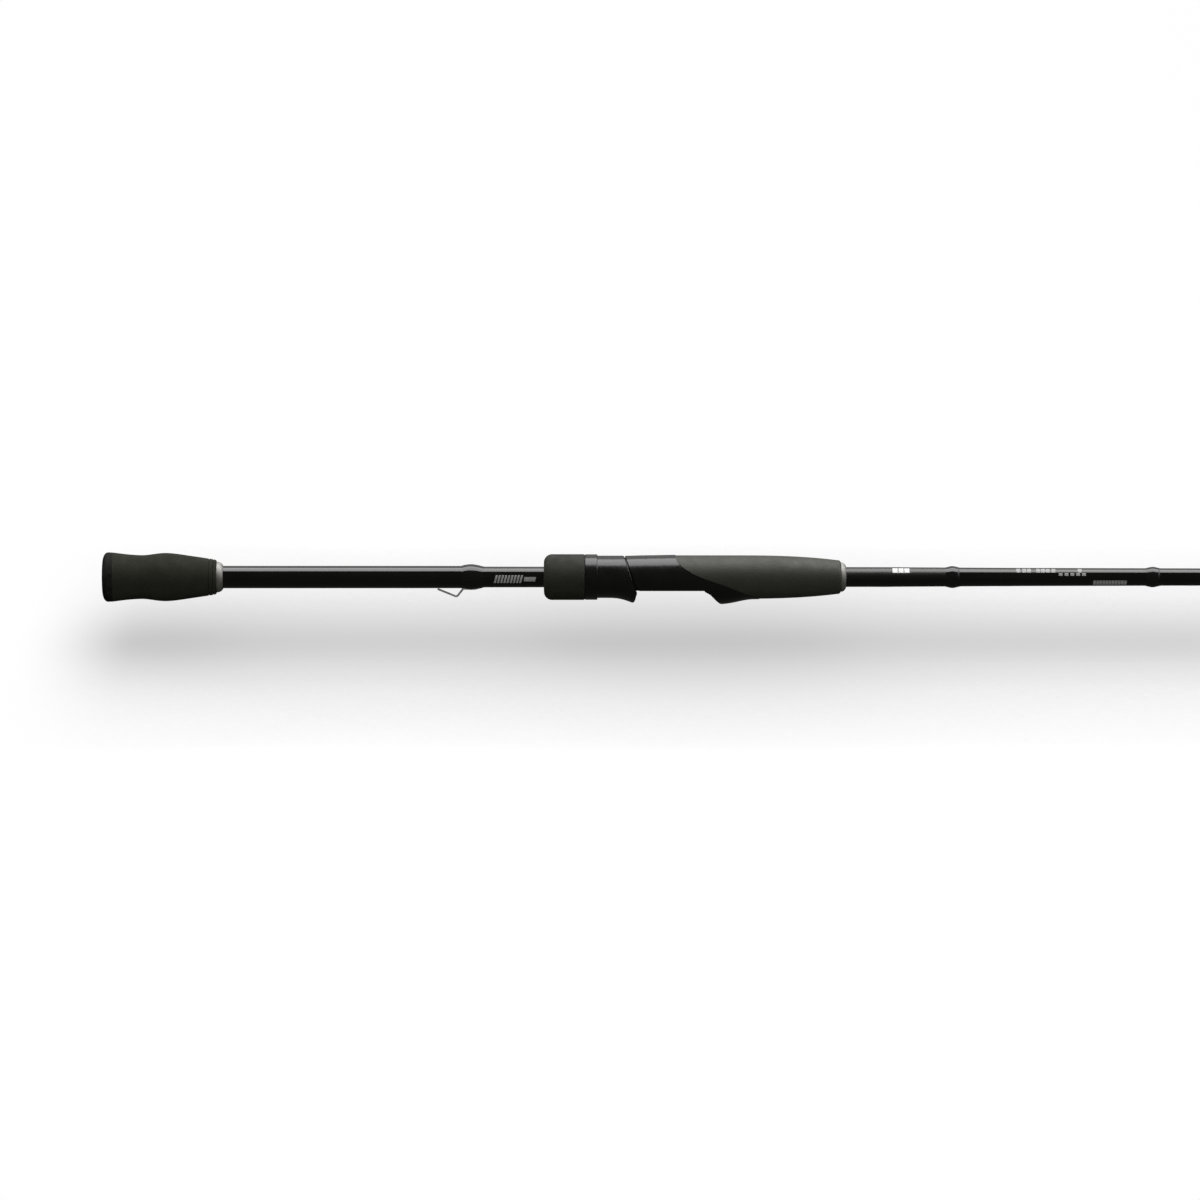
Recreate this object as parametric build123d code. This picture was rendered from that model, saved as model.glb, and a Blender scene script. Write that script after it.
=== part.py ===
from build123d import *

import math
import os

# A two-piece spinning rod, 2.13 m long, in millimetres.
#
# The rod's centre line is the X axis: X = 0 is the flat end of the butt cap and +X runs to the tip.
# The reel, the hook keeper and the line guides hang on the -Z side. Every function makes one
# sub-part, and the export at the end writes each of them to parts/NAME.step.

# ---------------------------------------------------------------- driving dimensions
ROD_TIP = 2124.0  # where the blank ends, inside the tip-top's tube
CAP_RADIUS, CAP_FACE_RADIUS = 14.1, 9.0
CAP_FRONT = 6.0
PLUG_END, PLUG_CLEARANCE = 14.0, 0.05  # the cap's plug inside the blank
GRIP_REAR_RADIUS = 13.97
REAR_GRIP_FRONT = 64.8
REAR_CHECK_FRONT = 68.5
RING_GROOVES = ((60.2, 10.6), (62.6, 10.25))  # X and radius of two lines round the front of the rear grip
GROOVE_WIDTH, GROOVE_DEPTH = 0.7, 0.4

# the blank's outer radius at places along the rod, straight between them
BLANK_START, BUTT_FRONT_END = 2.6, 1112.0
BUTT_STATIONS = [
    (BLANK_START, 6.4),
    (211.0, 6.35),
    (212.0, 5.95),
    (446.0, 5.65),
    (515.0, 5.24),
    (620.0, 4.95),
    (BUTT_FRONT_END, 3.45),
]
FERRULE_START, FERRULE_END = 1040.0, 1110.0  # the tip section slides over the butt section here
FERRULE_WRAP = (1040.5, 1064.0)
FERRULE_GAP = 0.03
TIP_STATIONS = [(FERRULE_START, 4.46), (1118.0, 4.2), (1500.0, 2.95), (1900.0, 1.50), (ROD_TIP, 0.95)]
BUTT_WALL_START, BUTT_WALL_END = 1.2, 0.85
BUTT_BORE_STATIONS = (BLANK_START, 212.0, 620.0, BUTT_FRONT_END)
TIP_BORE_END = 1850.0

KEEPER_WRAP = (204.3, 217.0)
KEEPER_WIRE = 0.55
KEEPER_HALF_WIDTH = 1.8
KEEPER_BEND = 1.3
KEEPER_LOW = (201.7, -11.2)  # the loop's lowest corner
KEEPER_REAR = 191.2
KEEPER_FOOT = (205.3, 212.5)  # the stretch of wire under the wrap

SEAT_REAR, SEAT_FRONT = 255.2, 414.0
SEAT_BORE = 6.8
SEAT_CORE = 9.4  # the tube that the foregrip is glued to
BARREL_RADIUS = 9.6
SHOULDER_TOP = 297.35  # the moving hood stops here
SHOULDER_LEAN = 0.352  # how far the shoulder leans forward for each mm down
EDGE_BREAK = 0.5  # chamfer on the two edges that meet at the shoulder
BED_Z = -8.0  # the reel foot lies on this flat
BED_START, PAD_START = 289.0, 305.8
BED_RELIEF = 0.2  # the bed is this much lower under the two hoods than on the pad between them
SWELL_RADIUS = 12.4
CHIN_MOUTH = [
    (342.8, BED_Z + BED_RELIEF),
    (343.4, -8.6),
    (346.4, -10.3),
    (349.9, -13.9),
    (351.6, -15.2),
    (354.4, -16.1),
]
FOOT_HALF_WIDTH = 7.0
FRONT_POCKET_END = 361.0
HOOD_POCKET_START = 290.0
HOOD_WALL = 1.2

THREAD_PITCH = 3.0
THREAD_ROOT = 8.8
RIDGE_START, THREAD_END = SEAT_REAR + 2.5, 280.0
THREAD_PLAY = 0.15
NUT_TURNS = 10.0 / 3.0  # of ridge inside the nut

NUT_REAR, NUT_SLEEVE_REAR, NUT_FLANGE_REAR = 251.4, 255.6, 274.7
NUT_RADIUS, NUT_FLANGE_RADIUS, NUT_SLEEVE_RADIUS = 13.05, 12.95, 10.9
NUT_REAR_BORE = 6.3
NUT_LIP_FRONT = 281.8  # the flange reaches this far over the moving hood's rear end

HOOD_REAR = 281.0
HOOD_SIDE = [
    (HOOD_REAR, -20.0),
    (300.2, -20.0),
    (301.4, -14.75),
    (302.6, -14.35),
    (303.3, -13.2),
    (303.9, -11.0),
    (304.5, -9.2),
    (307.0, -7.0),
    (307.0, 20.0),
    (HOOD_REAR, 20.0),
]
HOOD_RADIUS = 12.2
HOOD_GAP = 0.15
SHOULDER_GAP = 0.35
SPIGOT_LENGTH, SPIGOT_INSET = 0.9, 0.95  # a lip on the seat's shoulder, which the moving hood closes over
SPIGOT_CLEARANCE = 0.18
SNAP_GROOVE = (282.8, 284.6, 10.6, 11.05)  # X from and to, and the radius before and inside the groove
KEY_WIDTH, KEY_GROOVE_WIDTH = 2.6, 3.0
KEY_Z, KEY_GROOVE_Z = 8.8, 8.6

ARBOR_STARTS = (SEAT_REAR + 1.0, 318.0, 398.0)
ARBOR_LENGTH = 15.0

FOREGRIP_START, TAPER_START, FOREGRIP_FRONT = 322.0, 362.0, 420.4
FORE_CHECK_FRONT = 423.5

TRIM_WRAPS = {"label_wrap_rear": (480.2, 488.2), "label_wrap_front": (594.2, 602.4)}

# outsides of the reel seat and of its moving hood: X, half width, and reach above and below the centre line
SEAT_SECTIONS = [
    (292.0, 12.35, 12.2, 14.7),
    (304.0, 12.35, 12.3, 15.0),
    (316.0, 12.35, 12.5, 15.3),
    (328.0, 12.35, 12.7, 15.5),
    (340.0, 12.35, 12.6, 15.6),
    (352.0, 12.35, 12.4, 15.5),
    (358.0, 12.35, 12.4, 14.8),
    (364.0, 12.35, 12.4, 13.55),
    (370.0, 12.35, 12.35, 12.7),
    (376.0, 12.35, 12.35, 12.35),
]
HOOD_SECTIONS = [
    (HOOD_REAR, 12.1, HOOD_RADIUS, 11.95),
    (286.0, 12.1, HOOD_RADIUS, 11.9),
    (291.0, 12.15, HOOD_RADIUS, 12.0),
    (296.0, 12.2, HOOD_RADIUS, 12.75),
    (301.0, 12.3, HOOD_RADIUS, 14.4),
    (306.0, 12.45, HOOD_RADIUS, 15.3),
]

# name: (X of the ring's centre, ring outer diameter, ring inner diameter, drop below the rod's centre line,
#        distance from the ring to the end of each foot, foot width, two feet)
GUIDES = {
    "guide_1": (915.0, 30.0, 24.0, 31.0, 40.0, 3.4, True),
    "guide_2": (1178.0, 20.0, 15.0, 21.0, 30.0, 3.0, True),
    "guide_3": (1408.0, 12.0, 8.6, 13.5, 23.0, 2.6, True),
    "guide_4": (1602.0, 8.0, 5.6, 9.2, 17.0, 2.2, False),
    "guide_5": (1767.0, 7.0, 4.8, 7.8, 16.0, 2.0, False),
    "guide_6": (1907.0, 6.0, 4.2, 6.9, 15.0, 1.9, False),
    "guide_7": (2025.0, 6.0, 4.2, 6.4, 15.0, 1.7, False),
}
RING_LEAN = 10.0  # degrees: each ring's foot leans towards the tip
TIP_RING_X, TIP_RING_DROP, TIP_RING_LEAN = 2127.2, 3.7, 22.0
TIP_TUBE = (2112.0, 2125.0)

LEFT_AND_RIGHT = (-1, 1)
Z_TO_X = Rotation(0, 90, 0)


# ---------------------------------------------------------------- helpers
def along(stations, x):
    """The value at x on the straight lines between (x, value) stations."""
    for (x0, v0), (x1, v1) in zip(stations, stations[1:]):
        if x <= x1:
            return v0 + (v1 - v0) * (x - x0) / (x1 - x0)
    return stations[-1][1]


def turned(*edges):
    """The solid that a closed outline in the XZ plane sweeps as it turns once about the rod."""
    return revolve(make_face(Curve() + list(edges)), Axis.X, 360)


def turned_polygon(points):
    """The same, for an outline of straight lines through (x, radius) points."""
    return turned(Polyline(*[(x, 0, r) for x, r in points], close=True))


def tube(start, end, outer, inner):
    return turned_polygon([(start, inner), (start, outer), (end, outer), (end, inner)])


def block(x0, x1, half_width, z0, z1):
    return Pos((x0 + x1) / 2, 0, (z0 + z1) / 2) * Box(x1 - x0, 2 * half_width, z1 - z0)


def side_cut(points, half_width=20.0):
    """A prism across the rod, from straight lines through (x, z) points in the side view."""
    face = make_face(Polyline(*[(x, 0, z) for x, z in points], close=True))
    return extrude(face, half_width, dir=(0, 1, 0), both=True)


def wire_between(start, end, radius):
    """A round wire from one point to another, with a ball at each end."""
    start, end = Vector(*start), Vector(*end)
    path = Line(start, end)
    section = Plane(origin=start, z_dir=(end - start)) * Circle(radius)
    return sweep(section, path) + Pos(*start) * Sphere(radius) + Pos(*end) * Sphere(radius)


def barrel_wrap(start, end, stations, thickness, fullness=0.85, edge=0.06):
    """A thread wrap under its rounded coat of epoxy, open where the blank runs through it. The fullness
    is how much of its thickness the wrap has a fifth of the way in from each end."""
    r0, r1 = along(stations, start), along(stations, end)
    middle = (start + end) / 2
    crown = Spline(
        (start, 0, r0 + edge),
        (start + (end - start) * 0.2, 0, r0 + thickness * fullness),
        (middle, 0, (r0 + r1) / 2 + thickness),
        (end - (end - start) * 0.2, 0, r1 + thickness * fullness),
        (end, 0, r1 + edge),
    )
    under = Polyline((start, 0, r0 + edge), (start, 0, 0), (end, 0, 0), (end, 0, r1 + edge))
    return turned(crown, under)


# ---------------------------------------------------------------- blanks
def butt_blank():
    wall = [(BLANK_START, BUTT_WALL_START), (BUTT_FRONT_END, BUTT_WALL_END)]
    inside = [(x, along(BUTT_STATIONS, x) - along(wall, x)) for x in BUTT_BORE_STATIONS]
    return turned_polygon(BUTT_STATIONS + inside[::-1])


def socket_radius(x):
    """The inside of the tip section's socket, a sliding fit on the butt section's taper."""
    return along(BUTT_STATIONS, x) + FERRULE_GAP


def tip_blank():
    inside = [
        (FERRULE_START, socket_radius(FERRULE_START)),
        (FERRULE_END + 4.0, socket_radius(FERRULE_END + 2.0)),
        (FERRULE_END + 6.0, socket_radius(FERRULE_END) - 0.5),
        (TIP_BORE_END, 0.6),
        (TIP_BORE_END + 2.0, 0.0),
        (ROD_TIP, 0.0),
    ]
    return turned_polygon(TIP_STATIONS + inside[::-1])


# ---------------------------------------------------------------- butt end and rear grip
def butt_cap(blank):
    corner = CAP_RADIUS - 1.3
    crown = ThreePointArc((0, 0, CAP_FACE_RADIUS), (0.22, 0, 11.2), (0.9, 0, corner))
    shoulder = ThreePointArc((0.9, 0, corner), (1.8, 0, CAP_RADIUS - 0.35), (3.4, 0, CAP_RADIUS))
    back = Polyline(
        (3.4, 0, CAP_RADIUS),
        (CAP_FRONT, 0, GRIP_REAR_RADIUS),
        (CAP_FRONT, 0, 0),
        (0, 0, 0),
        (0, 0, CAP_FACE_RADIUS),
    )
    plug_radius = BUTT_STATIONS[0][1] - BUTT_WALL_START - PLUG_CLEARANCE
    return turned(crown, shoulder, back) - blank + tube(BLANK_START, PLUG_END, plug_radius, 0.0)


def rear_grip(blank):
    outline = [
        (CAP_FRONT, GRIP_REAR_RADIUS),
        (13.0, 13.1),
        (19.0, 12.6),
        (24.0, 12.55),
        (30.0, 13.3),
        (35.5, 13.75),
        (41.0, 13.4),
        (48.5, 12.35),
        (56.0, 11.25),
        RING_GROOVES[0],
    ]
    edges = [Spline(*[(x, 0, r) for x, r in outline])]
    front, corner = REAR_GRIP_FRONT, (REAR_GRIP_FRONT - 0.9, 9.9)
    for (x, radius), after in zip(RING_GROOVES, (*RING_GROOVES[1:], corner)):
        low, end = (x + GROOVE_WIDTH / 2, 0, radius - GROOVE_DEPTH), (x + GROOVE_WIDTH, 0, radius - 0.1)
        edges.append(ThreePointArc((x, 0, radius), low, end))
        edges.append(Line(end, (after[0], 0, after[1])))
    edges.append(ThreePointArc((corner[0], 0, corner[1]), (front - 0.25, 0, 9.6), (front, 0, 9.0)))
    rear = (CAP_FRONT, 0, GRIP_REAR_RADIUS)
    edges.append(Polyline((front, 0, 9.0), (front, 0, 0), (CAP_FRONT, 0, 0), rear))
    return turned(*edges) - blank


def winding_check(rear, front, rear_radius, front_radius, blank):
    """A turned metal ring that closes the end of a grip: a short band, then a dome down to the blank."""
    band_end = rear + 0.8
    middle = (rear + (front - rear) * 0.72, 0, front_radius + (rear_radius - front_radius) * 0.62)
    dome = ThreePointArc((band_end, 0, rear_radius), middle, (front, 0, front_radius))
    rest = Polyline(
        (front, 0, front_radius),
        (front, 0, 0),
        (rear, 0, 0),
        (rear, 0, rear_radius - 0.25),
        (rear + 0.25, 0, rear_radius),
        (band_end, 0, rear_radius),
    )
    return turned(dome, rest) - blank


# ---------------------------------------------------------------- hook keeper
def hook_keeper():
    foot_start, foot_end = KEEPER_FOOT
    foot_radius = along(BUTT_STATIONS, foot_start) + KEEPER_WIRE + 0.03
    foot_z = -math.sqrt(foot_radius**2 - KEEPER_HALF_WIDTH**2)
    rear_z = -along(BUTT_STATIONS, KEEPER_REAR) - KEEPER_WIRE - 0.05
    half = [(foot_end, foot_z), (foot_start, foot_z), KEEPER_LOW, (KEEPER_REAR, rear_z)]
    there = [(x, KEEPER_HALF_WIDTH, z) for x, z in half]
    back = [(x, -KEEPER_HALF_WIDTH, z) for x, z in half[::-1]]
    path = FilletPolyline(*(there + back), radius=KEEPER_BEND)
    start = Plane(origin=path @ 0, z_dir=path % 0)
    return sweep(start * Circle(KEEPER_WIRE), path)


# ---------------------------------------------------------------- reel seat
def elliptical_body(stations, inset=0.0):
    """A smooth body through upright ellipses, from (X, half width, height above, depth below) stations."""
    sections = []
    for x, half_width, top, bottom in stations:
        half_height = (top + bottom) / 2
        plane = Plane(origin=(x, 0, half_height - bottom), x_dir=(0, 1, 0), z_dir=(1, 0, 0))
        sections.append(plane * Ellipse(half_width - inset, half_height - inset))
    return loft(sections)


def behind_foregrip():
    """The space behind and below the slanting edge of the foregrip."""
    top, far_below = (326.2, 0, 13.2), -20.0
    edge = Spline(
        top,
        (327.0, 0, 9.4),
        (331.0, 0, 5.0),
        (338.0, 0, 0.9),
        (346.0, 0, -2.3),
        (356.0, 0, -6.0),
        (364.0, 0, -9.6),
        (374.0, 0, -12.4),
    )
    rest = Polyline(
        (374.0, 0, -12.4),
        (380.0, 0, far_below),
        (280.0, 0, far_below),
        (280.0, 0, top[2]),
        top,
    )
    return extrude(make_face(Curve() + [edge, rest]), 20.0, dir=(0, 1, 0), both=True)


def behind_shoulder(gap=0.0):
    """The space behind the slanting shoulder that the moving hood stops at."""
    top_x, top_z, low_z = SHOULDER_TOP - gap, 14.0, -18.0
    lean_top = top_x - (top_z - 12.0) * SHOULDER_LEAN
    lean_low = top_x + (12.0 - low_z) * SHOULDER_LEAN
    return side_cut([(lean_top, top_z), (lean_low, low_z), (240.0, low_z), (240.0, top_z)])


def thread_ridge(length, root, crest, root_width, crest_width):
    """A right-hand screw ridge round the X axis, from X = 0. It points in if the crest is inside the root."""
    helix = Helix(pitch=THREAD_PITCH, height=length, radius=root)
    start = helix @ 0
    plane = Plane(origin=start, x_dir=Vector(start.X, start.Y, 0), z_dir=helix % 0)
    height = crest - root
    foot = -math.copysign(0.3, height)
    wide, narrow = root_width / 2, crest_width / 2
    outline = Polygon((foot, -wide), (height, -narrow), (height, narrow), (foot, wide), align=None)
    ridge = sweep(plane * outline, path=helix, is_frenet=True)
    return Z_TO_X * ridge


def in_shoulder_plane(edge, gap):
    """Whether an edge lies wholly in the shoulder's slanting plane, moved back by a gap."""
    points = [edge @ share for share in (0.0, 0.3, 0.7, 1.0)]
    return all(abs(p.X - (SHOULDER_TOP - gap + (12.0 - p.Z) * SHOULDER_LEAN)) < 0.01 for p in points)


def reel_seat_body():
    swell = (elliptical_body(SEAT_SECTIONS) & behind_foregrip()) - behind_shoulder()
    swell = chamfer([edge for edge in swell.edges() if in_shoulder_plane(edge, 0.0)], EDGE_BREAK)
    spigot = elliptical_body(SEAT_SECTIONS, inset=SPIGOT_INSET) & behind_shoulder(-1.0)
    swell += spigot - behind_shoulder(SPIGOT_LENGTH)
    core = tube(300.0, SEAT_FRONT, SEAT_CORE, 0.0)
    barrel = tube(THREAD_END, 306.0, BARREL_RADIUS, 0.0)
    screw = tube(SEAT_REAR, THREAD_END, THREAD_ROOT, 0.0)
    ridge_length = THREAD_END - 1.5 - RIDGE_START
    ridge = Pos(RIDGE_START, 0, 0) * thread_ridge(ridge_length, THREAD_ROOT, BARREL_RADIUS, 1.6, 0.9)
    body = swell + core + barrel + screw + ridge
    relieved = BED_Z + BED_RELIEF
    bed = [(BED_START, relieved), (PAD_START, relieved), (PAD_START, BED_Z), (CHIN_MOUTH[0][0], BED_Z)]
    body -= side_cut(bed + CHIN_MOUTH + [(CHIN_MOUTH[-1][0], -22.0), (BED_START, -22.0)])
    pocket = block(CHIN_MOUTH[0][0], FRONT_POCKET_END, FOOT_HALF_WIDTH, -20.0, relieved)
    pocket = fillet(pocket.edges().filter_by(Axis.Z).group_by(Axis.X)[-1], 3.0)
    body -= pocket & elliptical_body(SEAT_SECTIONS, inset=HOOD_WALL + 0.9)
    groove = block(262.0, SHOULDER_TOP + 3.0, KEY_GROOVE_WIDTH / 2, KEY_GROOVE_Z, 12.0)
    body -= groove & behind_shoulder()
    return body - tube(SEAT_REAR - 1, SEAT_FRONT + 1, SEAT_BORE, 0.0)


def reel_seat_arbors(blank):
    """Bushings that centre the wider reel seat on the blank."""
    rings = [tube(x, x + ARBOR_LENGTH, SEAT_BORE, 0.0) - blank for x in ARBOR_STARTS]
    return Compound([solid for ring in rings for solid in ring.solids()])


def foregrip():
    nose_start = (FOREGRIP_FRONT - 1.8, 0, 9.65)
    outside = Polyline((FOREGRIP_START, 0, SWELL_RADIUS), (TAPER_START, 0, SWELL_RADIUS))
    taper = Spline(
        (TAPER_START, 0, SWELL_RADIUS),
        (386.0, 0, 12.1),
        (398.0, 0, 11.55),
        (408.0, 0, 10.8),
        nose_start,
        tangents=[(1, 0, 0), (1, 0, -0.13)],
    )
    nose = ThreePointArc(nose_start, (FOREGRIP_FRONT - 0.5, 0, 9.3), (FOREGRIP_FRONT, 0, 8.6))
    rest = Polyline(
        (FOREGRIP_FRONT, 0, 8.6),
        (FOREGRIP_FRONT, 0, SEAT_BORE),
        (SEAT_FRONT, 0, SEAT_BORE),
        (SEAT_FRONT, 0, SEAT_CORE),
        (FOREGRIP_START, 0, SEAT_CORE),
        (FOREGRIP_START, 0, SWELL_RADIUS),
    )
    return turned(outside, taper, nose, rest) - behind_foregrip()


# ---------------------------------------------------------------- moving hood and locking nut
def moving_hood():
    shell = elliptical_body(HOOD_SECTIONS) & side_cut(HOOD_SIDE)
    shell &= behind_shoulder(SHOULDER_GAP)
    front_edges = [edge for edge in shell.edges() if in_shoulder_plane(edge, SHOULDER_GAP)]
    shell = chamfer(front_edges, EDGE_BREAK)
    shell -= tube(HOOD_REAR - 1, 310.0, BARREL_RADIUS + HOOD_GAP, 0.0)
    recess = elliptical_body(HOOD_SECTIONS, inset=SPIGOT_INSET - SPIGOT_CLEARANCE)
    shell -= recess - behind_shoulder(SPIGOT_LENGTH + SPIGOT_CLEARANCE)
    pocket = block(HOOD_POCKET_START, HOOD_SECTIONS[-1][0], FOOT_HALF_WIDTH, -20.0, 1.0 + BED_Z)
    shell -= pocket & elliptical_body(HOOD_SECTIONS, inset=HOOD_WALL)
    key = block(HOOD_REAR + 4.2, SHOULDER_TOP - 0.6, KEY_WIDTH / 2, KEY_Z, HOOD_RADIUS - 1.2)
    shell += key & behind_shoulder(SPIGOT_LENGTH + SPIGOT_CLEARANCE)
    start, end, mouth, groove = SNAP_GROOVE
    outside = HOOD_REAR - 1
    snap = [(outside, 0), (outside, mouth), (start, mouth), (start, groove), (end, groove), (end, 0)]
    return shell - turned_polygon(snap)


def locking_nut_sleeve():
    bore = BARREL_RADIUS + THREAD_PLAY
    snap_start, snap_end, mouth, groove = SNAP_GROOVE
    neck, catch = mouth - HOOD_GAP, groove - 0.2
    outline = [
        (NUT_SLEEVE_REAR, bore),
        (NUT_SLEEVE_REAR, NUT_SLEEVE_RADIUS),
        (NUT_FLANGE_REAR, NUT_SLEEVE_RADIUS),
        (NUT_FLANGE_REAR, NUT_FLANGE_RADIUS - 0.3),
        (NUT_FLANGE_REAR + 0.3, NUT_FLANGE_RADIUS),
        (NUT_LIP_FRONT - 0.3, NUT_FLANGE_RADIUS),
        (NUT_LIP_FRONT, NUT_FLANGE_RADIUS - 0.3),
        (NUT_LIP_FRONT, HOOD_RADIUS + HOOD_GAP),
        (HOOD_REAR - HOOD_GAP, HOOD_RADIUS + HOOD_GAP),
        (HOOD_REAR - HOOD_GAP, neck),
        (snap_start + 0.2, neck),
        (snap_start + 0.2, catch),
        (snap_end - 0.3, catch),
        (snap_end - 0.3, bore),
    ]
    ridge_start = RIDGE_START + 3.5 * THREAD_PITCH  # half a turn off the barrel's ridge, so the two mesh
    ridge = thread_ridge(NUT_TURNS * THREAD_PITCH, bore, THREAD_ROOT + THREAD_PLAY, 1.2, 0.6)
    return turned_polygon(outline) + Pos(ridge_start, 0, 0) * ridge


def locking_nut_cover():
    corner = 5.0
    rear = ThreePointArc(
        (NUT_REAR, 0, NUT_REAR_BORE + 1.2),
        (NUT_REAR + 1.3, 0, NUT_RADIUS - 1.35),
        (NUT_REAR + corner, 0, NUT_RADIUS),
    )
    rest = Polyline(
        (NUT_REAR + corner, 0, NUT_RADIUS),
        (NUT_FLANGE_REAR - 0.8, 0, NUT_RADIUS),
        (NUT_FLANGE_REAR, 0, NUT_RADIUS - 0.5),
        (NUT_FLANGE_REAR, 0, NUT_SLEEVE_RADIUS),
        (NUT_SLEEVE_REAR, 0, NUT_SLEEVE_RADIUS),
        (NUT_SLEEVE_REAR, 0, 9.9),
        (NUT_REAR + 3.2, 0, 9.9),
        (NUT_REAR + 3.2, 0, NUT_REAR_BORE),
        (NUT_REAR, 0, NUT_REAR_BORE),
        (NUT_REAR, 0, NUT_REAR_BORE + 1.2),
    )
    return turned(rear, rest)


# ---------------------------------------------------------------- line guides
def ring_insert(outer, inner, thickness):
    """The hard ring that the line runs through, round about X, with its hole rounded both ways."""
    half, r_out, r_in = thickness / 2, outer / 2, inner / 2
    hole = ThreePointArc((-half, 0, r_in + half * 0.7), (0, 0, r_in), (half, 0, r_in + half * 0.7))
    side = r_in + half * 0.7
    rest = Polyline((half, 0, side), (half, 0, r_out), (-half, 0, r_out), (-half, 0, side))
    return turned(hole, rest)


def ring_carrier(inner, outer, thickness):
    """The frame's own ring, round about X, which holds the insert. Its outside is rounded."""
    half, flat = thickness / 2, outer - thickness * 0.4
    rim = ThreePointArc((-half, 0, flat), (0, 0, outer), (half, 0, flat))
    rest = Polyline((half, 0, flat), (half, 0, inner), (-half, 0, inner), (-half, 0, flat))
    return turned(rim, rest)


def placed_ring(shape, x, drop, lean):
    return Pos(x, 0, -drop) * Rotation(0, -lean, 0) * shape


def ring_side(x, drop, lean, radius, angle):
    """A point on a leaning ring, at an angle each way from its top. The left side has a negative angle."""
    a, tilt = math.radians(angle), math.radians(lean)
    y, up = radius * math.sin(a), radius * math.cos(a)
    return (x - up * math.sin(tilt), y, -drop + up * math.cos(tilt))


def guide_foot(heel_x, toe_x, width, blank_radius, thickness):
    """A flat foot on the blank's underside, narrowing towards its end."""
    heel, toe = width / 2, 0.35 * width / 2
    corners = [(heel_x, -heel, 0), (toe_x, -toe, 0), (toe_x, toe, 0), (heel_x, heel, 0)]
    outline = Polyline(*corners, close=True)
    slab = extrude(make_face(outline), thickness + blank_radius * 0.6, dir=(0, 0, -1))
    return Pos(0, 0, -blank_radius * 0.4) * slab


def guide_parts(x, outer, inner, drop, reach, width, two_feet, stations, blank):
    """(frame, ring insert, wraps) of one line guide."""
    thickness = 0.6 + outer * 0.055
    wire = 0.36 + outer * 0.013
    foot_thickness = 0.25 + 0.15 * width
    carrier_radius = outer / 2 + wire * 1.4
    insert = placed_ring(ring_insert(outer, inner, thickness), x, drop, RING_LEAN)
    frame = placed_ring(ring_carrier(outer / 2, carrier_radius, wire * 1.9), x, drop, RING_LEAN)
    heel = reach * 0.42
    wraps = []
    for direction, angle in (((-1, 40), (1, 72)) if two_feet else ((1, 60),)):
        heel_x, toe_x = x + direction * heel, x + direction * reach
        heel_radius = along(stations, heel_x)
        for side in LEFT_AND_RIGHT:
            start = (heel_x, side * width * 0.28, -heel_radius - foot_thickness * 0.45)
            end = ring_side(x, drop, RING_LEAN, outer / 2 + wire * 0.6, side * angle)
            frame += wire_between(start, end, wire)
        frame += guide_foot(heel_x, toe_x, width, along(stations, toe_x), foot_thickness)
        margin = 2.0 + 0.05 * outer
        ends = sorted((heel_x + direction * 1.2, toe_x + direction * margin))
        wraps.append(barrel_wrap(*ends, stations, foot_thickness + 0.55))
    frame -= blank
    frame -= insert
    shapes = [wrap - blank - frame for wrap in wraps]
    return frame, insert, Compound([s for shape in shapes for s in shape.solids()])


def tip_top(blank):
    """(frame, ring insert, wrap) of the tip-top: a tube glued over the tip, with a leaning ring."""
    outer, inner, thickness, wire = 6.0, 4.2, 1.0, 0.4
    tube_start, tube_end = TIP_TUBE
    tube_radius = along(TIP_STATIONS, tube_start) + 0.45
    insert = placed_ring(ring_insert(outer, inner, thickness), TIP_RING_X, TIP_RING_DROP, TIP_RING_LEAN)
    carrier = ring_carrier(outer / 2, outer / 2 + 0.55, 0.8)
    frame = placed_ring(carrier, TIP_RING_X, TIP_RING_DROP, TIP_RING_LEAN)
    frame += tube(tube_start, tube_end, tube_radius, 0.0)
    for side in LEFT_AND_RIGHT:
        start = (tube_start + 1.0, side * 0.5, -tube_radius)
        end = ring_side(TIP_RING_X, TIP_RING_DROP, TIP_RING_LEAN, outer / 2 + 0.2, side * 105)
        frame += wire_between(start, end, wire)
    frame += Pos(tube_end, 0, 0) * Sphere(tube_radius)
    frame = frame - blank - insert
    wrap = barrel_wrap(tube_start - 5.0, tube_start, TIP_STATIONS, 0.45) - blank - frame
    return frame, insert, wrap


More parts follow.
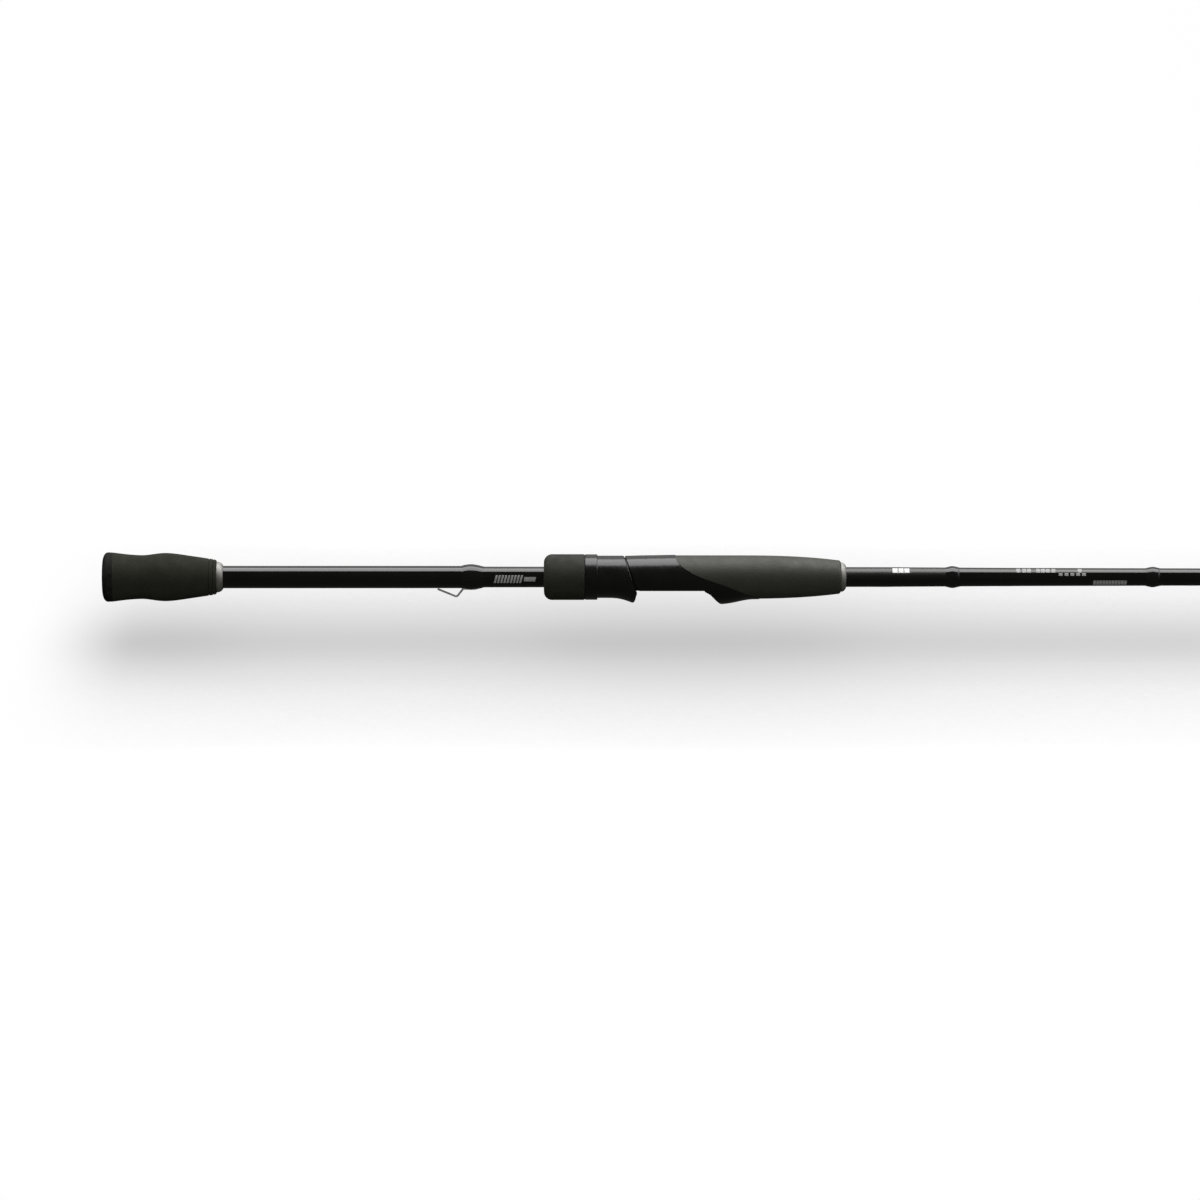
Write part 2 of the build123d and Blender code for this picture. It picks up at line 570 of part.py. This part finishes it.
# ---------------------------------------------------------------- build and export
def build():
    butt, tip = butt_blank(), tip_blank()
    butt_core = turned_polygon(BUTT_STATIONS + [(BUTT_STATIONS[-1][0], 0), (BUTT_STATIONS[0][0], 0)])
    tip_core = turned_polygon(TIP_STATIONS + [(ROD_TIP, 0), (FERRULE_START, 0)])
    keeper = hook_keeper()
    parts = {
        "butt_blank": butt,
        "tip_blank": tip,
        "butt_cap": butt_cap(butt_core),
        "rear_grip": rear_grip(butt_core),
        "rear_grip_check": winding_check(REAR_GRIP_FRONT, REAR_CHECK_FRONT, 8.75, 6.7, butt_core),
        "hook_keeper": keeper,
        "hook_keeper_wrap": barrel_wrap(*KEEPER_WRAP, BUTT_STATIONS, 1.15, 0.62) - butt_core - keeper,
        "reel_seat_body": reel_seat_body(),
        "reel_seat_arbors": reel_seat_arbors(butt_core),
        "foregrip": foregrip(),
        "foregrip_check": winding_check(FOREGRIP_FRONT, FORE_CHECK_FRONT, 8.4, 6.1, butt_core),
        "moving_hood": moving_hood(),
        "locking_nut_sleeve": locking_nut_sleeve(),
        "locking_nut_cover": locking_nut_cover(),
        "ferrule_wrap": barrel_wrap(*FERRULE_WRAP, TIP_STATIONS, 0.35) - tip_core,
    }
    for name, (start, end) in TRIM_WRAPS.items():
        parts[name] = barrel_wrap(start, end, BUTT_STATIONS, 0.85, 0.5) - butt_core
    for name, sizes in GUIDES.items():
        on_tip = sizes[0] > FERRULE_END
        stations, core = (TIP_STATIONS, tip_core) if on_tip else (BUTT_STATIONS, butt_core)
        frame, insert, wraps = guide_parts(*sizes, stations, core)
        parts[f"{name}_frame"], parts[f"{name}_ring"], parts[f"{name}_wraps"] = frame, insert, wraps
    parts["tip_top_frame"], parts["tip_top_ring"], parts["tip_top_wrap"] = tip_top(tip_core)
    return parts


os.makedirs("parts", exist_ok=True)
for part_name, shape in build().items():
    export_step(shape, f"parts/{part_name}.step")
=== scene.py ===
"""Looks, stage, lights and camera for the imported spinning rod.

Everything is in metres in the rod's own frame: +X runs from the butt to the tip along the blank's
centre line, +Z is up, and the reel seat's bed and the line guides are on the -Z side.
"""

import math

import bpy
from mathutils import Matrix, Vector

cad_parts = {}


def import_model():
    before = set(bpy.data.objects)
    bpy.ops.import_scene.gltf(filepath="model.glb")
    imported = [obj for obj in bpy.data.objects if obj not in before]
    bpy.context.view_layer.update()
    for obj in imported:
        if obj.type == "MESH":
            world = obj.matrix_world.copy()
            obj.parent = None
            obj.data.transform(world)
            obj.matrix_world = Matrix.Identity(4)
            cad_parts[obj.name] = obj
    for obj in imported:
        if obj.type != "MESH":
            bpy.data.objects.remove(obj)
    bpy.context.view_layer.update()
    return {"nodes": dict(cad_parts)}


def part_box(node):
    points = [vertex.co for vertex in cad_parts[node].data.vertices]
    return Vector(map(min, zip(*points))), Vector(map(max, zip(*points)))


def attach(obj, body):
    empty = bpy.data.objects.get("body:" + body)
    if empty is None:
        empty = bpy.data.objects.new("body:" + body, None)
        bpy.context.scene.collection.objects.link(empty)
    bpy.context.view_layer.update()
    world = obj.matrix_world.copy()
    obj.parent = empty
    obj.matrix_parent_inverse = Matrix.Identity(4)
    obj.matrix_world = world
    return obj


MM = 0.001

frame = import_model()
nodes = frame["nodes"]


# ---------------------------------------------------------------- node helpers
NOISE_RANGE = (0.3, 0.7)  # most of a noise texture's values lie between these
BANDS_APART = math.pi / 10.0  # how far apart a wave texture's bands are at a scale of 1
MIX_FIRST_COLOR, MIX_SECOND_COLOR, MIX_COLOR_RESULT = 6, 7, 2  # the mix node's sockets for colours


class Shader:
    """A material with one Principled shader, and short calls for the nodes that feed it."""

    def __init__(self, name, **settings):
        self.material = bpy.data.materials.new(name)
        self.material.use_nodes = True
        self.tree = self.material.node_tree
        self.principled = self.tree.nodes["Principled BSDF"]
        for socket, value in settings.items():
            self.set(self.principled, socket.replace("_", " "), value)
        self.place = self.node("ShaderNodeTexCoord").outputs["Object"]

    def node(self, kind, **properties):
        made = self.tree.nodes.new(kind)
        for key, value in properties.items():
            setattr(made, key, value)
        return made

    def set(self, node, socket, value):
        """Links an output into a socket, or sets the socket's own value."""
        target = node.inputs[socket]
        if isinstance(value, bpy.types.NodeSocket):
            self.tree.links.new(value, target)
        elif isinstance(value, tuple) and len(value) == 3 and target.type == "RGBA":
            target.default_value = (*value, 1.0)
        else:
            target.default_value = value

    def stretched(self, scale):
        """The surface's place, in metres, times a scale for each axis."""
        mapping = self.node("ShaderNodeMapping")
        self.set(mapping, "Vector", self.place)
        self.set(mapping, "Scale", scale)
        return mapping.outputs["Vector"]

    def noise(self, scale, detail=2.0, roughness=0.5, stretch=(1.0, 1.0, 1.0)):
        noise = self.node("ShaderNodeTexNoise")
        self.set(noise, "Vector", self.stretched(stretch))
        self.set(noise, "Scale", scale)
        self.set(noise, "Detail", detail)
        self.set(noise, "Roughness", roughness)
        return noise.outputs["Fac"]

    def cells(self, scale):
        """Distance to the nearest cell centre: small round pits."""
        cells = self.node("ShaderNodeTexVoronoi")
        self.set(cells, "Vector", self.place)
        self.set(cells, "Scale", scale)
        return cells.outputs["Distance"]

    def rings(self, spacing, distortion=0.0):
        """Bands round the rod, one for each spacing along X, from 0 to 1."""
        wave = self.node("ShaderNodeTexWave", wave_type="BANDS", bands_direction="X")
        self.set(wave, "Vector", self.place)
        self.set(wave, "Scale", BANDS_APART / spacing)
        self.set(wave, "Distortion", distortion)
        return wave.outputs["Fac"]

    def along(self, low, high, from_value=0.0, to_value=1.0):
        """A value that goes from one number to the other as X goes from low to high."""
        split = self.node("ShaderNodeSeparateXYZ")
        self.set(split, "Vector", self.place)
        return self.ranged(split.outputs["X"], low, high, from_value, to_value)

    def ranged(self, value, low, high, to_low, to_high):
        """A value's range from low to high, mapped to another range and cut off at its ends."""
        ranged = self.node("ShaderNodeMapRange")
        self.set(ranged, "Value", value)
        self.set(ranged, "From Min", low)
        self.set(ranged, "From Max", high)
        self.set(ranged, "To Min", to_low)
        self.set(ranged, "To Max", to_high)
        return ranged.outputs["Result"]

    def math(self, operation, first, second):
        made = self.node("ShaderNodeMath", operation=operation)
        self.set(made, 0, first)
        self.set(made, 1, second)
        return made.outputs["Value"]

    def color(self, factor, first, second):
        """Colours the surface between two colours, as the factor goes from 0 to 1."""
        mix = self.node("ShaderNodeMix", data_type="RGBA")
        self.set(mix, "Factor", factor)
        self.set(mix, MIX_FIRST_COLOR, first)
        self.set(mix, MIX_SECOND_COLOR, second)
        self.set(self.principled, "Base Color", mix.outputs[MIX_COLOR_RESULT])

    def roughness(self, value):
        self.set(self.principled, "Roughness", value)

    def bump(self, height, strength, distance):
        """Adds relief, on top of any relief that is there already. The distance is in metres."""
        bump = self.node("ShaderNodeBump")
        self.set(bump, "Height", height)
        self.set(bump, "Strength", strength)
        self.set(bump, "Distance", distance)
        links = self.principled.inputs["Normal"].links
        if links:
            self.set(bump, "Normal", links[0].from_socket)
        self.set(self.principled, "Normal", bump.outputs["Normal"])


# ---------------------------------------------------------------- materials
def foam(name, dark, light, gloss, dull, shiny):
    """Closed-cell EVA: matte, finely pored, a little mottled, with burnished high spots."""
    shader = Shader(name, Specular_IOR_Level=gloss)
    mottle = shader.noise(140.0, detail=4.0, roughness=0.6)
    grain = shader.noise(1900.0, detail=2.0)
    mixed = shader.math(
        "ADD",
        shader.math("MULTIPLY", mottle, 0.55),
        shader.math("MULTIPLY", grain, 0.45),
    )
    shader.color(shader.ranged(mixed, *NOISE_RANGE, 0.0, 1.0), dark, light)
    shader.roughness(shader.ranged(mottle, *NOISE_RANGE, dull, shiny))
    shader.bump(shader.cells(2100.0), 0.55, 0.16 * MM)
    shader.bump(grain, 0.3, 0.12 * MM)
    return shader.material


def cap_rubber():
    """Smooth matte rubber, faintly scuffed."""
    shader = Shader("cap_rubber", Specular_IOR_Level=0.1)
    grain = shader.noise(2400.0, detail=3.0)
    scuffs = shader.noise(260.0, detail=5.0, roughness=0.7)
    worn = shader.ranged(scuffs, 0.4, 0.75, 0.0, 1.0)
    shader.color(worn, (0.0045, 0.0045, 0.0042), (0.0135, 0.0135, 0.0128))
    shader.roughness(shader.ranged(scuffs, *NOISE_RANGE, 0.65, 0.85))
    shader.bump(grain, 0.3, 0.08 * MM)
    return shader.material


def satin_stretch(shader):
    """1 on the stretch of blank from the foregrip to the rear label wrap, and 0 elsewhere."""
    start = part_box("foregrip")[1][0]
    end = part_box("label_wrap_rear")[0][0]
    begins = shader.along(start, start + 1.0 * MM)
    ends = shader.along(end, end + 1.0 * MM, 1.0, 0.0)
    return shader.math("MULTIPLY", begins, ends)


def carbon_blank(name):
    """Sanded and clear-coated carbon: fibres along the rod that only just show, under a gloss coat."""
    shader = Shader(name, IOR=1.56)
    fibres = shader.noise(900.0, detail=3.0, stretch=(0.012, 1.0, 1.0))
    cloth = shader.noise(60.0, detail=2.0)
    faint = shader.math("MULTIPLY", fibres, shader.ranged(cloth, *NOISE_RANGE, 0.6, 1.0))
    shown = shader.ranged(faint, 0.25, 0.65, 0.0, 1.0)
    shader.color(shown, (0.0008, 0.0008, 0.0006), (0.0030, 0.0030, 0.0024))
    coat = shader.ranged(shader.noise(35.0, detail=3.0), *NOISE_RANGE, 0.09, 0.14)
    satin = shader.math("MULTIPLY", satin_stretch(shader), 0.24)
    shader.roughness(shader.math("ADD", coat, satin))
    shader.bump(fibres, 0.05, 0.03 * MM)
    return shader.material


def thread_wrap():
    """Fine black thread, laid turn by turn round the rod, seen through a coat of clear epoxy."""
    shader = Shader("thread_wrap", IOR=1.53)
    turns = shader.rings(0.24 * MM)
    shader.color(turns, (0.0012, 0.0012, 0.0012), (0.005, 0.005, 0.005))
    waviness = shader.noise(120.0, detail=2.0, stretch=(0.6, 1.0, 1.0))
    shader.roughness(shader.ranged(waviness, *NOISE_RANGE, 0.08, 0.15))
    shader.bump(turns, 0.06, 0.02 * MM)
    shader.bump(waviness, 0.10, 0.10 * MM)
    return shader.material


def moulded_plastic(name, dark, light, glossy, dull):
    """Gloss moulded nylon: slight orange peel, fine handling marks, uneven gloss."""
    shader = Shader(name, IOR=1.5)
    peel = shader.noise(700.0, detail=2.0)
    haze = shader.noise(90.0, detail=4.0, roughness=0.65)
    marks = shader.noise(1500.0, detail=2.0, stretch=(0.05, 1.0, 1.0))
    shader.color(shader.ranged(haze, *NOISE_RANGE, 0.0, 1.0), dark, light)
    shader.roughness(shader.ranged(shader.math("MULTIPLY", haze, marks), 0.1, 0.4, glossy, dull))
    shader.bump(peel, 0.08, 0.06 * MM)
    return shader.material


def turned_metal():
    """A lathe-turned ring, blasted and anodised: mostly metal, with a pale satin film."""
    shader = Shader("turned_metal", Metallic=0.88)
    grooves = shader.rings(0.11 * MM, distortion=1.2)
    streaks = shader.noise(2600.0, detail=2.0, stretch=(1.0, 0.08, 0.08))
    shader.color(streaks, (0.22, 0.216, 0.204), (0.325, 0.321, 0.302))
    shader.roughness(shader.ranged(streaks, *NOISE_RANGE, 0.55, 0.68))
    shader.bump(grooves, 0.15, 0.03 * MM)
    return shader.material


def drawn_wire():
    """Drawn steel wire, dulled, with fine lines along it."""
    shader = Shader("drawn_wire", Metallic=0.6)
    lines = shader.noise(1800.0, detail=2.0, stretch=(0.1, 1.0, 1.0))
    shader.color(lines, (0.42, 0.42, 0.42), (0.62, 0.62, 0.61))
    shader.roughness(shader.ranged(lines, *NOISE_RANGE, 0.34, 0.5))
    shader.bump(lines, 0.12, 0.03 * MM)
    return shader.material


def plated_steel():
    """The guides' frames: polished steel, black-plated."""
    shader = Shader("plated_steel", Metallic=1.0)
    polish = shader.noise(500.0, detail=3.0)
    shader.color(polish, (0.075, 0.075, 0.085), (0.13, 0.13, 0.14))
    shader.roughness(shader.ranged(polish, *NOISE_RANGE, 0.16, 0.3))
    shader.bump(polish, 0.05, 0.04 * MM)
    return shader.material


def ring_ceramic():
    """Polished dark ceramic, very slightly clouded."""
    shader = Shader("ring_ceramic", IOR=1.9)
    cloud = shader.noise(900.0, detail=3.0)
    shader.color(cloud, (0.028, 0.029, 0.034), (0.050, 0.051, 0.058))
    shader.roughness(shader.ranged(cloud, *NOISE_RANGE, 0.06, 0.14))
    shader.bump(cloud, 0.03, 0.02 * MM)
    return shader.material


def arbor_foam():
    """Cut rigid urethane foam."""
    shader = Shader("arbor_foam", Roughness=0.9)
    cells = shader.cells(1800.0)
    shader.color(cells, (0.42, 0.38, 0.30), (0.60, 0.56, 0.47))
    shader.bump(cells, 0.5, 0.3 * MM)
    return shader.material


def ink(name, fresh, worn):
    """Printed paint, thin and slightly broken at its finest scale."""
    shader = Shader(name)
    wear = shader.noise(2200.0, detail=3.0)
    shader.color(shader.ranged(wear, 0.45, 0.75, 0.0, 1.0), fresh, worn)
    shader.roughness(shader.ranged(wear, *NOISE_RANGE, 0.25, 0.45))
    shader.bump(wear, 0.1, 0.02 * MM)
    return shader.material


def trim_thread():
    """Dark metallic thread, a few turns wide."""
    shader = Shader("trim_thread", Metallic=1.0)
    turns = shader.rings(0.2 * MM)
    shader.color(turns, (0.03, 0.03, 0.03), (0.09, 0.09, 0.09))
    shader.roughness(shader.ranged(shader.noise(900.0), *NOISE_RANGE, 0.42, 0.55))
    shader.bump(turns, 0.3, 0.04 * MM)
    return shader.material


def give(node_name, material):
    slots = nodes[node_name].data.materials
    slots.clear()
    slots.append(material)


def dress_the_frame():
    """Every CAD node gets the material of what it is made of."""
    hood = moulded_plastic(
        "hood_nylon",
        dark=(0.0020, 0.0020, 0.0019),
        light=(0.0040, 0.0040, 0.0038),
        glossy=0.20,
        dull=0.28,
    )
    chosen = {
        "butt_cap": cap_rubber(),
        "rear_grip": foam(
            "rear_foam",
            dark=(0.0128, 0.0131, 0.0090),
            light=(0.0197, 0.0201, 0.0142),
            gloss=0.12,
            dull=0.92,
            shiny=0.78,
        ),
        "locking_nut_cover": foam(
            "nut_foam",
            dark=(0.0106, 0.0108, 0.0082),
            light=(0.0170, 0.0173, 0.0132),
            gloss=0.28,
            dull=0.84,
            shiny=0.70,
        ),
        "foregrip": foam(
            "front_foam",
            dark=(0.0172, 0.0176, 0.0120),
            light=(0.0266, 0.0271, 0.0195),
            gloss=0.44,
            dull=0.66,
            shiny=0.54,
        ),
        "butt_blank": carbon_blank("butt_carbon"),
        "tip_blank": carbon_blank("tip_carbon"),
        "reel_seat_body": moulded_plastic(
            "seat_nylon",
            dark=(0.0016, 0.0016, 0.0013),
            light=(0.0034, 0.0034, 0.0030),
            glossy=0.19,
            dull=0.27,
        ),
        "moving_hood": hood,
        "locking_nut_sleeve": hood,
        "reel_seat_arbors": arbor_foam(),
        "hook_keeper": drawn_wire(),
    }
    wrap = thread_wrap()
    by_ending = {
        "_check": turned_metal(),
        "_wrap": wrap,
        "_wraps": wrap,
        "wrap_rear": wrap,
        "wrap_front": wrap,
        "_frame": plated_steel(),
        "_ring": ring_ceramic(),
    }
    for name in nodes:
        if name in chosen:
            give(name, chosen[name])
        else:
            give(name, next(material for ending, material in by_ending.items() if name.endswith(ending)))


# ---------------------------------------------------------------- printed marks
RAY_START = 0.1  # a ray from this far off the centre line starts clear of the blank and its wraps
PRINT_LIFT, TRIM_LIFT = 0.02 * MM, 0.03 * MM  # how far the marks stand off the surface they lie on


def on_surface(node_name, x, angle, lift):
    """The point of a node's outside at X and at an angle up from -Y, lifted clear of it. In metres."""
    outward = Vector((0.0, -math.cos(angle), math.sin(angle)))
    start = Vector((x, 0.0, 0.0)) + RAY_START * outward
    hit, place, _, _ = nodes[node_name].ray_cast(start, -outward)
    if not hit:
        raise RuntimeError(f"no surface of {node_name} at X = {x}")
    return place + lift * outward


def surface_piece(name, verts, faces, material):
    mesh = bpy.data.meshes.new(name)
    mesh.from_pydata(verts, [], faces)
    mesh.shade_smooth()
    mesh.materials.append(material)
    piece = bpy.data.objects.new(name, mesh)
    bpy.context.scene.collection.objects.link(piece)
    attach(piece, "butt_section")


def printed_bars(name, bars, material):
    """One mesh of thin printed bars on the blank, all on the side that faces -Y.

    A bar is (X start, X end, low and high height as a share of the radius, how far its top leans
    along X), with its lengths in millimetres.
    """
    steps = 8
    verts, faces = [], []
    for start, end, low, high, lean in bars:
        first = len(verts)
        low_angle, high_angle = math.asin(low), math.asin(high)
        for step in range(steps + 1):
            share = step / steps
            angle = low_angle + (high_angle - low_angle) * share
            for x in (start + lean * share, end + lean * share):
                verts.append(on_surface("butt_blank", x * MM, angle, PRINT_LIFT))
        for step in range(steps):
            corner = first + 2 * step
            faces.append((corner, corner + 1, corner + 3, corner + 2))
    surface_piece(name, verts, faces, material)


def row_of_bars(start, count, width, gap, low, high, lean=0.0):
    """Equal bars from a start along X, in millimetres."""
    starts = [start + i * (width + gap) for i in range(count)]
    return [(bar, bar + width, low, high, lean) for bar in starts]


def trim_ring(wrap_name, material):
    """A thin ring of trim thread laid round a label wrap, just behind its front end."""
    steps = 64
    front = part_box(wrap_name)[1][0]
    verts = []
    for step in range(steps):
        angle = 2.0 * math.pi * step / steps
        for x in (front - 1.1 * MM, front - 0.3 * MM):
            verts.append(on_surface(wrap_name, x, angle, TRIM_LIFT))
    count = len(verts)
    faces = [(i, (i + 2) % count, (i + 3) % count, i + 1) for i in range(0, count, 2)]
    surface_piece(f"{wrap_name}_trim", verts, faces, material)


def front_of(node_name):
    """X of a node's front end, in millimetres."""
    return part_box(node_name)[1][0] / MM


def print_the_blank():
    """Generic marks where such rods carry their print: bars and dashes, with no lettering.

    Each mark is placed by how far it is ahead of a wrap or ring, in millimetres.
    """
    white = ink("white_ink", (0.62, 0.62, 0.62), (0.46, 0.46, 0.46))
    silver = ink("silver_ink", (0.24, 0.24, 0.24), (0.16, 0.16, 0.16))
    grey = ink("grey_ink", (0.24, 0.24, 0.24), (0.15, 0.15, 0.15))

    start = front_of("hook_keeper_wrap")
    badge = row_of_bars(start + 5.8, 9, width=1.15, gap=0.65, low=-0.58, high=0.18, lean=1.2)
    badge.append((start + 22.8, start + 29.4, -0.42, 0.0, 0.5))
    printed_bars("rear_badge", badge, grey)

    start = front_of("foregrip_check") + 26.4
    printed_bars("front_badge", row_of_bars(start, 3, width=2.9, gap=0.45, low=0.44, high=0.90), white)

    label = front_of("label_wrap_rear")
    dashes = []
    for ahead, count in ((32.2, 1), (35.6, 2), (43.6, 3), (52.2, 1), (67.2, 1)):
        dashes += row_of_bars(label + ahead, count, width=2.2, gap=0.5, low=0.49, high=0.91)
    printed_bars("series_dashes", dashes, silver)
    upper = row_of_bars(label + 56.3, 5, width=2.2, gap=1.1, low=0.14, high=0.44)
    lower = row_of_bars(label + 76.0, 11, width=1.5, gap=0.25, low=-0.88, high=-0.40)
    printed_bars("rating_dashes", upper + lower, grey)

    trim = trim_thread()
    for wrap_name in ("label_wrap_rear", "label_wrap_front"):
        trim_ring(wrap_name, trim)


# ---------------------------------------------------------------- stage, lights and camera
FLOOR_TILT = math.radians(16.0)
HANDLE_CLEARANCE, GUIDE_CLEARANCE = 0.0385, 0.0475  # from the centre line to the floor, square to it
FLOOR_DIP = (0.66, 0.86)  # the floor goes down between these X, ahead of the first guide
SHADOW_REACH = 0.20  # the rod shades no point of the floor that is further off than this
SHADOW_START = 0.0042  # the shade starts where the rod fills this share of a point's sky
SHADOW_DEPTH = 0.099  # how much darker the floor gets each time that share grows by a factor of e
SHADOW_FADE = (-0.055, 0.02)  # the painted shadow is faded in by X between these, round the butt's end
ROOM_COLOR, ROOM_STRENGTH = (1.0, 1.02, 0.88, 1.0), 0.07  # the dim light from all round
VIEW_WIDTH = 0.684  # what the camera's frame spans at the rod
VIEW_CENTRE = Vector((0.2833, 0.0, -0.01307))  # what is in the middle of the camera's frame
LENS, SENSOR = 200.0, 36.0  # millimetres


def world():
    """White behind the object, and a dim even room in its reflections and shade."""
    made = bpy.data.worlds.new("studio")
    bpy.context.scene.world = made
    made.use_nodes = True
    tree = made.node_tree
    tree.nodes.clear()
    rays = tree.nodes.new("ShaderNodeLightPath")
    backdrop = tree.nodes.new("ShaderNodeBackground")
    backdrop.inputs["Color"].default_value = (1.0, 1.0, 1.0, 1.0)
    backdrop.inputs["Strength"].default_value = 1.0
    room = tree.nodes.new("ShaderNodeBackground")
    room.inputs["Color"].default_value = ROOM_COLOR
    room.inputs["Strength"].default_value = ROOM_STRENGTH
    mix = tree.nodes.new("ShaderNodeMixShader")
    out = tree.nodes.new("ShaderNodeOutputWorld")
    is_camera, off_camera_look, camera_look = mix.inputs
    tree.links.new(rays.outputs["Is Camera Ray"], is_camera)
    tree.links.new(room.outputs["Background"], off_camera_look)
    tree.links.new(backdrop.outputs["Background"], camera_look)
    tree.links.new(mix.outputs["Shader"], out.inputs["Surface"])


def floor_mesh():
    """A broad sheet, level along the handle, that eases down ahead of it to clear the line guides."""
    half_width, ends, steps = 6.0, (-5.0, 7.0), 16
    start, end = FLOOR_DIP
    verts = []
    for x in (ends[0], *(start + (end - start) * step / steps for step in range(steps + 1)), ends[1]):
        share = min(max((x - start) / (end - start), 0.0), 1.0)
        eased = share * share * (3.0 - 2.0 * share)  # level at both ends of the dip
        height = -HANDLE_CLEARANCE - (GUIDE_CLEARANCE - HANDLE_CLEARANCE) * eased
        verts += [(x, -half_width, height), (x, half_width, height)]
    faces = [(i, i + 2, i + 3, i + 1) for i in range(0, len(verts) - 2, 2)]
    mesh = bpy.data.meshes.new("floor")
    mesh.from_pydata(verts, [], faces)
    mesh.shade_smooth()
    return mesh


def floor_material():
    """Glowing white with a painted shadow: softly darker the more of a point's sky the rod fills."""
    shade = bpy.data.materials.new("glowing_floor_painted_shadow")
    shade.use_nodes = True
    tree = shade.node_tree
    tree.nodes.clear()
    openness = tree.nodes.new("ShaderNodeAmbientOcclusion")
    openness.samples = 64
    openness.inputs["Distance"].default_value = SHADOW_REACH
    place = tree.nodes.new("ShaderNodeNewGeometry")
    split = tree.nodes.new("ShaderNodeSeparateXYZ")
    fade = tree.nodes.new("ShaderNodeMapRange")
    fade.interpolation_type = "SMOOTHSTEP"
    fade.inputs["From Min"].default_value, fade.inputs["From Max"].default_value = SHADOW_FADE
    tree.links.new(place.outputs["Position"], split.inputs["Vector"])
    tree.links.new(split.outputs["X"], fade.inputs["Value"])
    last = openness.outputs["AO"]
    # each step works on the result of the step before, which stands where there is a None
    for operation, first, second in (
        ("SUBTRACT", 1.0, None),
        ("MAXIMUM", None, SHADOW_START),
        ("DIVIDE", None, SHADOW_START),
        ("LOGARITHM", None, math.e),
        ("MULTIPLY", None, SHADOW_DEPTH),
        ("MULTIPLY", None, fade.outputs["Result"]),
        ("SUBTRACT", 1.0, None),
    ):
        step = tree.nodes.new("ShaderNodeMath")
        step.operation = operation
        for socket, value in zip(step.inputs, (first, second)):
            if isinstance(value, float):
                socket.default_value = value
            else:
                tree.links.new(value or last, socket)
        last = step.outputs["Value"]
    # the floor glows: its white and its painted shadow are emission, not light from the lamps
    glow = tree.nodes.new("ShaderNodeEmission")
    out = tree.nodes.new("ShaderNodeOutputMaterial")
    tree.links.new(last, glow.inputs["Color"])
    tree.links.new(glow.outputs["Emission"], out.inputs["Surface"])
    return shade


def floor():
    made = bpy.data.objects.new("floor", floor_mesh())
    bpy.context.scene.collection.objects.link(made)
    made.rotation_euler = (FLOOR_TILT, 0.0, 0.0)
    # the floor neither shows in the rod's gloss nor throws light up at it
    made.visible_glossy = False
    made.visible_diffuse = False
    made.data.materials.append(floor_material())


def softbox(name, centre, aim, size_x, size_y, radiance):
    """An area light that faces a point, given by its radiance rather than its power."""
    data = bpy.data.lights.new(name, "AREA")
    data.shape = "RECTANGLE"
    data.size, data.size_y = size_x, size_y
    data.energy = radiance * math.pi * size_x * size_y
    made = bpy.data.objects.new(name, data)
    bpy.context.scene.collection.objects.link(made)
    made.location = centre
    made.rotation_euler = (Vector(aim) - Vector(centre)).to_track_quat("-Z", "Y").to_euler()
    made.visible_camera = False
    return made


def lights():
    """A long box over the rod, a dim one behind it, and a fill from the front, seen in no reflection."""
    softbox("overhead", (1.0, -0.06, 0.95), (1.0, -0.06, 0.0), size_x=3.6, size_y=0.82, radiance=5.1)
    softbox("behind", (1.0, 0.77, 0.92), (1.0, 0.0, 0.0), size_x=3.6, size_y=0.85, radiance=0.7)
    fill = softbox("fill", (1.0, -1.0, -0.25), (1.0, 0.0, 0.0), size_x=4.0, size_y=1.4, radiance=1.0)
    fill.visible_glossy = False


def camera():
    """Level, square to the rod, and far enough off to look nearly without perspective."""
    data = bpy.data.cameras.new("camera")
    data.lens, data.sensor_width = LENS, SENSOR
    data.clip_end = 100.0
    made = bpy.data.objects.new("camera", data)
    bpy.context.scene.collection.objects.link(made)
    distance = VIEW_WIDTH * LENS / SENSOR
    made.location = VIEW_CENTRE - Vector((0.0, distance, 0.0))
    made.rotation_euler = (math.radians(90.0), 0.0, 0.0)
    bpy.context.scene.camera = made


dress_the_frame()
print_the_blank()
world()
floor()
lights()
camera()
bpy.context.scene.view_settings.view_transform = "Standard"
